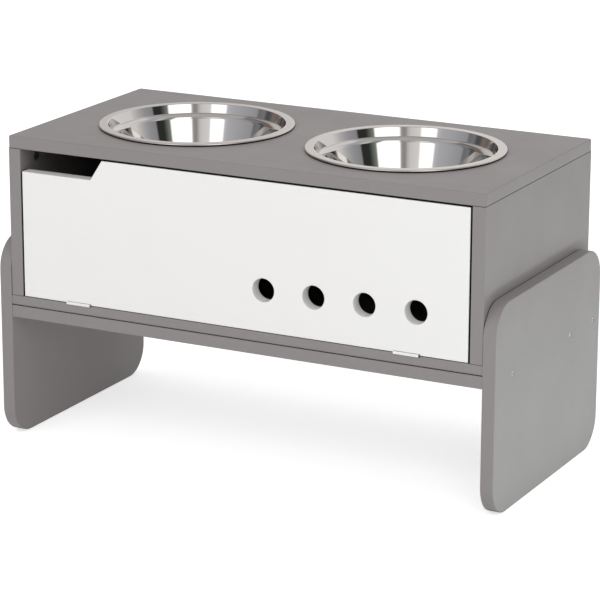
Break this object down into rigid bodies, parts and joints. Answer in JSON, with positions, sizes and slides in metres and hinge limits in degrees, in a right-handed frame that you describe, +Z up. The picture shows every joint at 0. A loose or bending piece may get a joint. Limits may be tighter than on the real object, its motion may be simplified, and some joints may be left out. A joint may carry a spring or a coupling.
{
  "type": "elevated pet feeder with storage",
  "caption": "Gray board stand with drop-in steel bowls over a storage compartment closed by a white drop-down door.",
  "frame": {"origin": "on the ground under the middle of the cabinet", "axes": "+X along the cabinet's width to its right-hand end seen from the front, -Y out of the door, +Z up"},
  "size_m": [0.61, 0.2932, 0.3561],
  "materials": {
    "gray_board": "warm gray satin lacquer on fibreboard",
    "white_board": "off-white satin lacquer on fibreboard",
    "bowl_steel": "stainless steel sheet, mirror polished inside, satin lip",
    "white_hinge": "white enamel on steel",
    "zinc_plated_steel": "bright zinc plating",
    "zinc_casting": "tumbled zinc die casting",
    "catch_plastic": "moulded white plastic",
    "ferrite": "pressed ferrite",
    "beech": "plain turned beech"
  },
  "bodies": {
    "cabinet": {"back_panel": "gray_board", "base_screws": "zinc_plated_steel", "catch_body": "catch_plastic", "catch_magnet": "ferrite", "catch_pole_plates": "zinc_plated_steel", "catch_screws": "zinc_plated_steel", "cross_board": "gray_board", "floor_panel": "gray_board", "left_cam_bolts": "zinc_plated_steel", "left_cams": "zinc_casting", "left_dowels": "beech", "left_floor_screws": "zinc_plated_steel", "left_hinge_frame_leaf": "white_hinge", "left_hinge_frame_screws": "zinc_plated_steel", "left_hinge_pin": "zinc_plated_steel", "left_leg": "gray_board", "left_leg_screws": "zinc_plated_steel", "left_side_panel": "gray_board", "right_cam_bolts": "zinc_plated_steel", "right_cams": "zinc_casting", "right_dowels": "beech", "right_floor_screws": "zinc_plated_steel", "right_hinge_frame_leaf": "white_hinge", "right_hinge_frame_screws": "zinc_plated_steel", "right_hinge_pin": "zinc_plated_steel", "right_leg": "gray_board", "right_leg_screws": "zinc_plated_steel", "right_side_panel": "gray_board", "top_panel": "gray_board"},
    "door": {"door": "white_board", "left_hinge_door_leaf": "white_hinge", "left_hinge_door_screws": "zinc_plated_steel", "right_hinge_door_leaf": "white_hinge", "right_hinge_door_screws": "zinc_plated_steel", "strike_plate": "zinc_plated_steel", "strike_screw": "zinc_plated_steel"},
    "left_bowl": {"left_bowl": "bowl_steel"},
    "right_bowl": {"right_bowl": "bowl_steel"}
  },
  "joints": [
    {"name": "door_hinge", "type": "hinge", "parent": "cabinet", "child": "door", "pos_m": [0, -0.1455, 0.16925], "axis": [1, 0, 0], "range_deg": [0, 180]},
    {"name": "left_bowl_lift", "type": "slide", "parent": "cabinet", "child": "left_bowl", "axis": [0, 0, 1], "range_m": [0, 0.1]},
    {"name": "right_bowl_lift", "type": "slide", "parent": "cabinet", "child": "right_bowl", "axis": [0, 0, 1], "range_m": [0, 0.1]}
  ]
}
